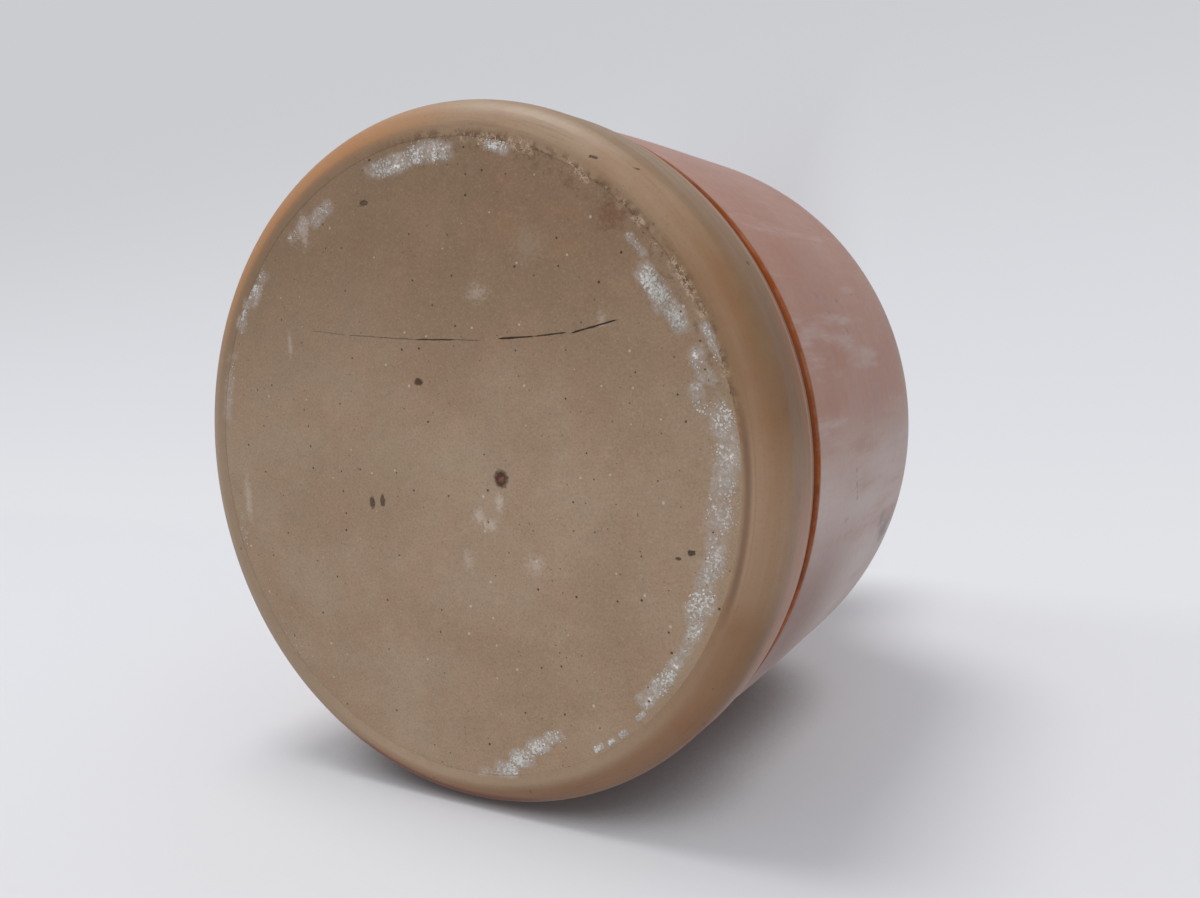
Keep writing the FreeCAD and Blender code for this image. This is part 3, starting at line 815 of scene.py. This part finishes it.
def spinOutline(outline, steps, closed=True):
    # an outline of (radius, height) in millimetres, spun once round the drum's axis
    shape = bmesh.new()
    corners = [shape.verts.new((r * mm, 0.0, z * mm)) for r, z in outline]
    pairs = list(zip(corners, corners[1:])) + ([(corners[-1], corners[0])] if closed else [])
    rims = [shape.edges.new(pair) for pair in pairs]
    bmesh.ops.spin(shape, geom=corners + rims, cent=(0, 0, 0), axis=(0, 0, 1), angle=math.tau, steps=steps,
                   use_merge=True)
    bmesh.ops.remove_doubles(shape, verts=shape.verts, dist=0.000002)
    bmesh.ops.recalc_face_normals(shape, faces=shape.faces)
    return shape


def finishPiece(name, shape, material, body, node=None, smooth=True):
    mesh = bpy.data.meshes.new(name)
    shape.to_mesh(mesh)
    shape.free()
    mesh.materials.append(material)
    mesh.polygons.foreach_set("use_smooth", [smooth] * len(mesh.polygons))
    piece = bpy.data.objects.new(name, mesh)
    bpy.context.scene.collection.objects.link(piece)
    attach(piece, body)
    if node:
        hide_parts(node)
    print(name, "has", len(mesh.polygons), "faces")
    return piece


def ease(value, low, high):
    share = min(1.0, max(0.0, (value - low) / (high - low)))
    return share * share * (3 - 2 * share)


def ripple(point, frequency, seed=0.0):
    return noise.noise(Vector((point.x * frequency + seed, point.y * frequency - seed, point.z * frequency)))


# the shoulder's centre as (reach, height), and its two radii
bowl = {"steps": 256, "wobble": 0.14, "lines": 0.06, "shoulder": (38.0, 200.0), "outer": 62.0, "inner": 53.0}


def makeBowl():
    shoulder = bowl["shoulder"]
    outside = joinRuns(
        arcRun((91.0, 311.0), 6.0, 90.0, 0.0, 8), straightRun((97.0, 311.0), (97.0, 297.2), 3),
        softRun((97.0, 297.2), (97.0, 296.4), (95.9, 296.3), (95.8, 295.2), 5),
        straightRun((95.8, 295.2), (95.8, 293.8), 2),
        softRun((95.8, 293.8), (95.9, 292.2), (97.8, 291.6), (98.8, 291.0), 8),
        softRun((98.8, 291.0), (99.15, 290.7), (99.25, 290.2), (99.3, 289.4), 4),
        softRun((99.3, 289.4), (99.6, 276.0), (100.0, 262.0), (100.0, 248.0), 22),
        straightRun((100.0, 248.0), (100.0, 200.0), 22),
        arcRun(shoulder, bowl["outer"], 0.0, -62.0, 34),
        softRun((67.1, 145.3), (58.4, 140.7), (45.8, 130.5), (44.4, 122.3), 14))
    inside = joinRuns(
        softRun((35.4, 122.3), (36.8, 131.0), (53.6, 148.3), (62.9, 153.2), 10),
        arcRun(shoulder, bowl["inner"], -62.0, 0.0, 22), straightRun((91.0, 200.0), (91.0, 250.0), 8),
        straightRun((91.0, 250.0), (90.2, 302.0), 8), straightRun((90.2, 302.0), (91.0, 311.0), 2),
        straightRun((91.0, 311.0), (91.0, 317.0), 1))
    shape = spinOutline(joinRuns(outside, inside[:-1]), bowl["steps"])
    for vert in shape.verts:
        reach = math.hypot(vert.co.x, vert.co.y) / mm
        height = vert.co.z / mm
        # no wobble near the groove, the mouth and the seam, where other pieces fit
        free = 1.0 - (ease(height, 280.0, 288.0) if reach > 93 else ease(height, 298.0, 307.0))
        free *= ease(height, 124.0, 134.0)
        drift = bowl["wobble"] * (ripple(vert.co, 11.0) - 0.6)
        rings = bowl["lines"] * noise.noise(Vector((0.0, 3.0, height * 0.42)))
        fromShoulder = math.hypot(reach - shoulder[0], min(height, shoulder[1]) - shoulder[1])
        if fromShoulder < 0.5 * (bowl["outer"] + bowl["inner"]):  # the inside, with coarser rings
            rings = 5.0 * bowl["lines"] * math.sin(height * 0.72 + math.atan2(vert.co.y, vert.co.x))
            rings *= ease(height, 153.0, 164.0)
        pull = 1.0 + free * (drift + rings) / reach
        vert.co.x *= pull
        vert.co.y *= pull
    return finishPiece("clayBowl", shape, bowlMaterial, "shell", "clay_bowl")


stem = {"steps": 224, "wobble": 0.25, "lines": 0.10}


def makeStem():
    outside = joinRuns(
        softRun((44.4, 121.7), (43.2, 115.0), (42.1, 103.0), (42.0, 90.0), 16),
        softRun((42.0, 90.0), (42.0, 74.0), (42.9, 60.0), (44.4, 47.0), 16),
        softRun((44.4, 47.0), (46.0, 34.0), (51.0, 17.0), (54.2, 8.4), 16),
        softRun((54.2, 8.4), (54.7, 7.2), (55.0, 6.0), (55.0, 4.6), 4),
        straightRun((55.0, 4.6), (55.0, 2.0), 2), arcRun((53.0, 2.0), 2.0, 0.0, -90.0, 5))
    inside = joinRuns(
        straightRun((53.0, 0.0), (47.2, 0.0), 3),
        softRun((47.2, 0.0), (46.5, 0.0), (46.0, 0.6), (46.0, 1.6), 3),
        softRun((46.0, 1.6), (45.4, 9.0), (37.4, 32.0), (35.4, 47.0), 14),
        softRun((35.4, 47.0), (33.9, 60.0), (33.0, 74.0), (33.0, 90.0), 10),
        softRun((33.0, 90.0), (33.1, 103.0), (34.2, 115.0), (35.4, 121.7), 10))
    shape = spinOutline(joinRuns(outside, inside), stem["steps"])
    for vert in shape.verts:
        reach = math.hypot(vert.co.x, vert.co.y) / mm
        height = vert.co.z / mm
        free = (1.0 - ease(height, 108.0, 119.0)) * ease(height, 0.5, 10.0)
        drift = stem["wobble"] * (ripple(vert.co, 14.0, 4.0) - 0.4)
        rings = stem["lines"] * noise.noise(Vector((0.0, 8.0, height * 0.38)))
        pull = 1.0 + free * (drift + rings) / reach
        vert.co.x *= pull
        vert.co.y *= pull
    return finishPiece("clayStem", shape, stemMaterial, "shell", "clay_stem")


coil = {"steps": 224, "reach": 42.7, "height": 121.96, "thick": 2.55, "dents": 30, "press": 0.34,
        "rough": 0.2}


def makeCoil():
    # a rope of clay pressed into the seam with a fingertip, all the way round
    shape = spinOutline(arcRun((coil["reach"], coil["height"]), coil["thick"], 0.0, 342.0, 19), coil["steps"])
    for vert in shape.verts:
        reach = math.hypot(vert.co.x, vert.co.y) / mm
        bearing = math.atan2(vert.co.y, vert.co.x)
        press = 0.5 + 0.5 * math.cos(coil["dents"] * bearing + 1.4 * math.sin(5 * bearing))
        depth = coil["press"] * press + coil["rough"] * ripple(vert.co, 160.0, 2.0)
        pull = 1.0 - ease(reach, 42.5, 45.0) * depth / reach
        vert.co.x *= pull
        vert.co.y *= pull
    return finishPiece("lutingCoil", shape, luteMaterial, "shell", "luting_coil")


# the lip is torn between two bearings, and calm elsewhere
band = {"steps": 640, "raggedFrom": 18.0, "raggedTo": 84.0, "ragged": 0.5, "calm": 0.1, "heap": 0.42,
        "hollow": 0.12}


def skinRise(reach):
    # the skin lifts a little where it is drawn over the bowl's edge
    return skinLift["rise"] * ease(reach, skinLift["start"], skinLift["reach"])


def makeBand():
    lipTop = skinTop / mm + skinLift["rise"]
    outline = joinRuns(
        softRun((91.1, 319.0), (90.6, 319.1), (90.0, lipTop - 0.2), (89.6, lipTop - 0.08), 4),
        softRun((89.6, lipTop - 0.08), (89.3, lipTop - 0.02), (89.4, lipTop + 0.1), (89.9, lipTop + 0.16), 4),
        softRun((89.9, lipTop + 0.16), (90.4, lipTop + 0.24), (91.2, lipTop + 0.38), (92.2, 319.86), 6),
        arcRun((91.0, 311.0), 8.95, 82.0, 2.0, 22),
        straightRun((99.95, 311.0), (100.0, 299.4), 9),
        softRun((100.0, 299.4), (100.0, 298.6), (99.86, 298.3), (99.84, 298.0), 4),
        softRun((99.84, 298.0), (99.8, 297.3), (99.5, 296.64), (98.7, 296.62), 5),
        softRun((98.7, 296.62), (98.3, 296.62), (98.22, 297.0), (98.22, 297.6), 3),
        straightRun((98.22, 297.6), (98.22, 311.0), 3), arcRun((91.0, 311.0), 7.22, 0.0, 88.0, 8),
        straightRun((91.1, 318.22), (91.1, 319.0), 2)[:-1])
    shape = spinOutline(outline, band["steps"])
    for vert in shape.verts:
        reach = math.hypot(vert.co.x, vert.co.y) / mm
        height = vert.co.z / mm
        bearing = math.degrees(math.atan2(vert.co.y, vert.co.x))
        rough = ease(bearing, band["raggedFrom"] - 8, band["raggedFrom"] + 6)
        rough *= 1 - ease(bearing, band["raggedTo"] - 4, band["raggedTo"] + 10)
        size = band["calm"] + (band["ragged"] - band["calm"]) * rough
        lip = 1.0 - ease(reach, 90.0, 92.0)
        torn = size * lip * (ripple(vert.co, 240.0, 7.0) + 0.6 * ripple(vert.co, 700.0, 1.0) - 0.3)
        side = ease(height, 300.0, 302.0) * (1 - ease(height, 309.0, 312.0)) if reach > 99 else 0.0
        hollow = side * band["hollow"] * (noise.noise(Vector((1.0, 0.0, height * 0.45))) - 0.5)
        pull = 1.0 + (torn + hollow) / reach
        vert.co.x *= pull
        vert.co.y *= pull
        if height > 319.3:  # the upper face of the lip
            heap = band["heap"] * rough * lip * max(0.0, ripple(vert.co, 330.0, 3.0))
            vert.co.z += heap * mm
    return finishPiece("rimBand", shape, bandMaterial, "shell", "rim_band")


head = {"steps": 448, "edge": 90.7, "thick": 0.8, "sag": 0.10}


def makeHead():
    level = skinTop / mm
    reaches = [i * 1.3 for i in range(1, 60)] + [77.5 + i * 0.62 for i in range(1, 20)]
    top = [(0.0, level)] + [(r, level) for r in reaches if r < 89.4]
    rim = [(89.5, level), (90.0, level - 0.02), (90.4, level - 0.05), (90.6, level - 0.12)]
    low = level - head["thick"]
    under = [(head["edge"], level - 0.25), (head["edge"], level - 0.7), (90.5, low)]
    outline = joinRuns(top, rim, under, straightRun((90.5, low), (0.0, low), 14))
    shape = spinOutline(outline, head["steps"], closed=False)
    for vert in shape.verts:
        reach = math.hypot(vert.co.x, vert.co.y) / mm
        if vert.co.z / mm > level - 0.3:
            swell = head["sag"] * (ripple(vert.co, 22.0, 2.0) + 0.4 * ripple(vert.co, 70.0, 5.0))
            swell *= 1 - ease(reach, 78, 87)
            drawn = skinRise(reach) * (1 - ease(reach, 89.4, 90.5))
            vert.co.z += (swell + drawn) * mm
    return finishPiece("drumSkin", shape, skinMaterial, "head", "drum_skin")


cord = {"steps": 512, "reach": 97.0, "height": 294.55, "thick": 1.1, "strands": 3, "pitch": 9.0, "dip": 0.07}


def makeCord():
    # three twisted strands, as a shallow dip between each two
    shape = spinOutline(arcRun((cord["reach"], cord["height"]), cord["thick"], 0.0, 348.0, 29), cord["steps"])
    for vert in shape.verts:
        reach = math.hypot(vert.co.x, vert.co.y)
        bearing = math.atan2(vert.co.y, vert.co.x)
        outward = (reach - cord["reach"] * mm, vert.co.z - cord["height"] * mm)
        around = math.atan2(outward[1], outward[0])
        turns = round(math.tau * cord["reach"] / cord["pitch"])
        dip = cord["dip"] * mm * (0.5 - 0.5 * math.cos(cord["strands"] * around + turns * bearing))
        pull = 1.0 - dip * math.cos(around) / reach
        vert.co.x *= pull
        vert.co.y *= pull
        vert.co.z -= dip * math.sin(around)
    return finishPiece("bindingCord", shape, gutMaterial, "shell", "binding_cord")


knot = {"reach": 97.8, "height": 294.55, "thick": 1.68, "squash": (0.92, 1.5, 0.72), "tail": 0.62,
        "tailOut": 1.05, "tailArc": 5.0}


def makeKnot():
    # a lump of crossed strands with two cut ends laid back over the cord
    shape = bmesh.new()
    middle = Vector((-knot["reach"] * mm, 0.0, knot["height"] * mm))
    for tilt, lift in ((0.0, 0.0), (38.0, 0.05), (-38.0, -0.05)):
        found = bmesh.ops.create_uvsphere(shape, u_segments=24, v_segments=16,
                                          radius=knot["thick"] * mm)["verts"]
        bmesh.ops.scale(shape, vec=knot["squash"], verts=found)
        lean = Matrix.Rotation(math.radians(tilt), 3, "X")
        bmesh.ops.rotate(shape, cent=(0, 0, 0), matrix=lean, verts=found)
        bmesh.ops.translate(shape, vec=middle + Vector((lift * mm, 0, 0)), verts=found)
    for side in (-1, 1):
        reach = (knot["reach"] + knot["tailOut"]) * mm
        start = math.pi + side * math.radians(0.6)
        rim = bmesh.ops.create_circle(shape, segments=14, radius=knot["tail"] * mm, cap_ends=False)["verts"]
        bmesh.ops.rotate(shape, cent=(0, 0, 0), matrix=Matrix.Rotation(math.radians(90), 3, "X"), verts=rim)
        bmesh.ops.translate(shape, vec=(reach, 0, knot["height"] * mm), verts=rim)
        bmesh.ops.rotate(shape, cent=(0, 0, 0), matrix=Matrix.Rotation(start, 3, "Z"), verts=rim)
        edges = list({edge for vert in rim for edge in vert.link_edges})
        swept = bmesh.ops.spin(shape, geom=rim + edges, cent=(0, 0, 0), axis=(0, 0, side), steps=14,
                               angle=math.radians(knot["tailArc"]), use_merge=False)
        last = [part for part in swept["geom_last"] if isinstance(part, bmesh.types.BMEdge)]
        bmesh.ops.contextual_create(shape, geom=last)
        bmesh.ops.contextual_create(shape, geom=edges)
    bmesh.ops.recalc_face_normals(shape, faces=shape.faces)
    return finishPiece("cordKnot", shape, gutMaterial, "shell", "cord_knot")


crust = {"grains": 3600, "batch": 140, "smallest": 0.16, "largest": 1.15, "seed": 11}


def crustThickAt(bearing, reach):
    # how much powder lies at a place on the head, from 0 to 1
    most = 0.0
    for middle, halfAngle, away, halfWidth, strength in powderPatches:
        turn = abs((bearing - middle + 180.0) % 360.0 - 180.0)
        along = 1.0 - ease(turn, halfAngle * 0.25, halfAngle)
        across = 1.0 - ease(abs(reach - away), halfWidth * 0.2, halfWidth)
        most = max(most, along * across * strength)
    return most


def addCrumb(shape, chance, spot, size, level):
    found = bmesh.ops.create_icosphere(shape, subdivisions=1, radius=size * 0.5 * mm)["verts"]
    for vert in found:
        vert.co *= 0.75 + 0.5 * chance.random()
    tilt = Euler((chance.uniform(-0.4, 0.4), chance.uniform(-0.4, 0.4), chance.uniform(0, math.tau)))
    bmesh.ops.scale(shape, vec=(1.3, 1.0, 0.45), verts=found)
    bmesh.ops.rotate(shape, cent=(0, 0, 0), verts=found, matrix=tilt.to_matrix())
    bmesh.ops.translate(shape, vec=spot + Vector((0, 0, skinTop + (0.1 * size + level) * mm)), verts=found)


def makeCrust():
    # crumbs of dried powder, made in small batches and heaped where the powder is thickest
    chance = random.Random(crust["seed"])
    spots = []
    while len(spots) < crust["grains"]:
        bearing, reach = chance.uniform(-180.0, 180.0), 89.0 - chance.uniform(0.0, 3.4) ** 2
        turn = math.radians(bearing)
        spot = Vector((reach * math.cos(turn), reach * math.sin(turn), 0.0)) * mm
        clump = 0.45 + 1.3 * ripple(spot, 190.0, 9.0) + 0.8 * ripple(spot, 520.0, 3.0)
        thick = crustThickAt(bearing, reach)
        if thick ** 2 * clump > chance.random():
            spots.append((spot, reach, thick))
    whole = bmesh.new()
    for first in range(0, len(spots), crust["batch"]):
        shape = bmesh.new()
        for spot, reach, thick in spots[first:first + crust["batch"]]:
            size = crust["smallest"] + (crust["largest"] - crust["smallest"]) * thick * chance.random() ** 3
            addCrumb(shape, chance, spot, size, skinRise(reach))
        part = bpy.data.meshes.new("crumbs")
        shape.to_mesh(part)
        shape.free()
        whole.from_mesh(part)
        bpy.data.meshes.remove(part)
    return finishPiece("driedCrust", whole, crustMaterial, "head", "dried_crust", smooth=False)


makeBowl()
makeStem()
makeCoil()
makeBand()
makeHead()
makeCord()
makeKnot()
makeCrust()
for nodeName, material in (("glue_bed", glueMaterial), ("skin_lap", lapMaterial)):
    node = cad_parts[nodeName]
    node.data.materials.clear()
    node.data.materials.append(material)
print("pieces ready")


stage = {
    "side": -91.0, "floor": paint(226, 227, 231), "low": paint(222, 223, 228), "high": paint(203, 204, 208),
    "dark": paint(112, 106, 106), "dim": 0.08, "fold": 0.10, "top": 0.34, "reach": 1.8,
    "glow": 0.2, "footGlow": 0.1, "see": 0.6, "close": 0.04,
}


def makeStageMaterial(name, painter):
    # its back can't be seen, so it never hides the drum from another side
    material, tree, shader = newMaterial(name)
    colour, share = painter(tree)
    tree.links.new(tint(tree, stage["dim"], colour, stage["dark"]), shader.inputs["Base Color"])
    shader.inputs["Roughness"].default_value = 0.9
    shader.inputs["Specular IOR Level"].default_value = 0.1
    shine = addNode(tree, "ShaderNodeEmission", {"Color": colour, "Strength": 1.0})
    clear = addNode(tree, "ShaderNodeBsdfTransparent")
    seen = addNode(tree, "ShaderNodeLightPath").outputs["Is Camera Ray"]
    lit = addNode(tree, "ShaderNodeMixShader", {0: share, 1: shader.outputs[0], 2: shine.outputs[0]})
    thin = addNode(tree, "ShaderNodeMixShader", {0: stage["see"], 1: shader.outputs[0], 2: clear.outputs[0]})
    front = addNode(tree, "ShaderNodeMixShader", {0: seen, 1: thin.outputs[0], 2: lit.outputs[0]})
    behind = addNode(tree, "ShaderNodeNewGeometry").outputs["Backfacing"]
    both = addNode(tree, "ShaderNodeMixShader", {0: behind, 1: front.outputs[0], 2: clear.outputs[0]})
    tree.links.new(both.outputs[0], tree.nodes["Material Output"].inputs["Surface"])
    return material


def paintLaying(tree):
    # painted contact shade: darker where the drum's side comes down to the sheet, glowing only towards the
    # corner
    rise = split(tree, place(tree))[2]
    near = addNode(tree, "ShaderNodeAmbientOcclusion", {"Distance": stage["close"]}).outputs["AO"]
    shade = maths(tree, "MULTIPLY", fade(tree, near, 0.62, 0.12), fade(tree, rise, 0.06, 0.14))
    return tint(tree, shade, stage["floor"], stage["dark"]), fade(tree, rise, 0.0, 0.09, 1.0, stage["glow"])


def paintStanding(tree):
    # pale at the corner, a little greyer further off, and open to shadow beside the foot
    vector = place(tree)
    parts = split(tree, vector)
    rise = maths(tree, "ADD", parts[1], headRadius)
    colour = tint(tree, fade(tree, rise, 0.0, stage["fold"]), stage["floor"], stage["low"])
    colour = tint(tree, fade(tree, rise, stage["fold"] * 0.5, stage["top"]), colour, stage["high"])
    glow = fade(tree, roundAxis(tree, vector)[0], 0.07, 0.2, stage["footGlow"], 1.0)  # dim near the foot
    return colour, maths(tree, "MAXIMUM", glow, fade(tree, parts[0], -0.03, 0.045))


def makeSheet(name, material, corner, along, up):
    # a flat sheet spanned by two directions from one corner, facing along x up
    shape = bmesh.new()
    bmesh.ops.create_grid(shape, x_segments=2, y_segments=2, size=0.5)
    turn = Matrix((along, up, along.cross(up).normalized())).transposed().to_4x4()
    middle = corner + 0.5 * along + 0.5 * up
    bmesh.ops.transform(shape, matrix=Matrix.Translation(middle) @ turn, verts=shape.verts)
    mesh = bpy.data.meshes.new(name)
    shape.to_mesh(mesh)
    shape.free()
    mesh.materials.append(material)
    sheet = bpy.data.objects.new(name, mesh)
    bpy.context.scene.collection.objects.link(sheet)


def makeStage():
    # one sheet touches the bowl's side all along, the other is the ground under the foot
    turn = math.radians(stage["side"])
    outward = Vector((math.cos(turn), math.sin(turn), 0.0))
    touch = outward * headRadius
    across = Vector((0, 0, 1)).cross(outward).normalized()
    reach = stage["reach"]
    makeSheet("layingFloor", makeStageMaterial("paleFloor", paintLaying),
              touch - across * reach + Vector((0, 0, reach)), across * 2 * reach, Vector((0, 0, -reach)))
    makeSheet("standingFloor", makeStageMaterial("paleWall", paintStanding),
              touch - across * reach + outward * reach, across * 2 * reach, -outward * 2 * reach)


def addLamp(name, position, target, size, power, colour):
    lamp = bpy.data.lights.new(name, "AREA")
    lamp.shape = "DISK"
    lamp.size = size
    lamp.energy = power
    lamp.color = colour
    holder = bpy.data.objects.new(name, lamp)
    bpy.context.scene.collection.objects.link(holder)
    holder.location = position
    holder.rotation_mode = "QUATERNION"
    holder.rotation_quaternion = (target - position).to_track_quat("-Z", "Y")
    holder.visible_camera = False


# each lamp: place from the drum's middle, size, power and colour
lights = {
    "key": ((-0.4, 2.2, 0.1), 1.0, 27.0, (1.0, 0.99, 0.97)),
    "fill": ((0.6, 0.4, 2.2), 1.2, 21.0, (0.98, 0.99, 1.0)),
    "back": ((-1.6, -0.2, 0.6), 1.2, 4.0, (0.98, 0.99, 1.0)),
    "aim": 0.75, "room": 0.62, "roomColour": paint(236, 238, 242),
}


def makeLights():
    middle = Vector((0, 0, headTop * lights["aim"]))
    for name in ("key", "fill", "back"):
        away, size, power, colour = lights[name]
        addLamp(name + "Light", middle + Vector(away), middle, size, power, colour)
    world = bpy.data.worlds.new("softRoom")
    bpy.context.scene.world = world
    world.use_nodes = True
    tree = world.node_tree
    seen = addNode(tree, "ShaderNodeLightPath").outputs["Is Camera Ray"]
    background = tree.nodes["Background"]
    tree.links.new(tint(tree, seen, lights["roomColour"], stage["low"]), background.inputs["Color"])
    tree.links.new(fade(tree, seen, 0.0, 1.0, lights["room"], 1.0), background.inputs["Strength"])


# close to the head, looking across it from the drum's +X side
view = {
    "sensor": 36.0, "lens": 29.4, "place": (0.17560, 0.03078, 0.21487),
    "sight": (-0.4994, -0.1042, -0.8601), "up": (0.0, 0.9927, -0.1203),
}


def makeCamera():
    camera = bpy.data.cameras.new("viewCamera")
    camera.sensor_width = view["sensor"]
    camera.lens = view["lens"]
    camera.clip_start = 0.01
    camera.clip_end = 20.0
    holder = bpy.data.objects.new("viewCamera", camera)
    bpy.context.scene.collection.objects.link(holder)
    sight = Vector(view["sight"]).normalized()
    right = sight.cross(Vector(view["up"])).normalized()
    up = right.cross(sight)
    turn = Matrix((right, up, -sight)).transposed().to_4x4()
    holder.matrix_world = Matrix.Translation(headCentre + Vector(view["place"])) @ turn
    bpy.context.scene.camera = holder


makeStage()
makeLights()
makeCamera()
bpy.context.scene.view_settings.view_transform = "Standard"
print("stage, lights and camera ready")
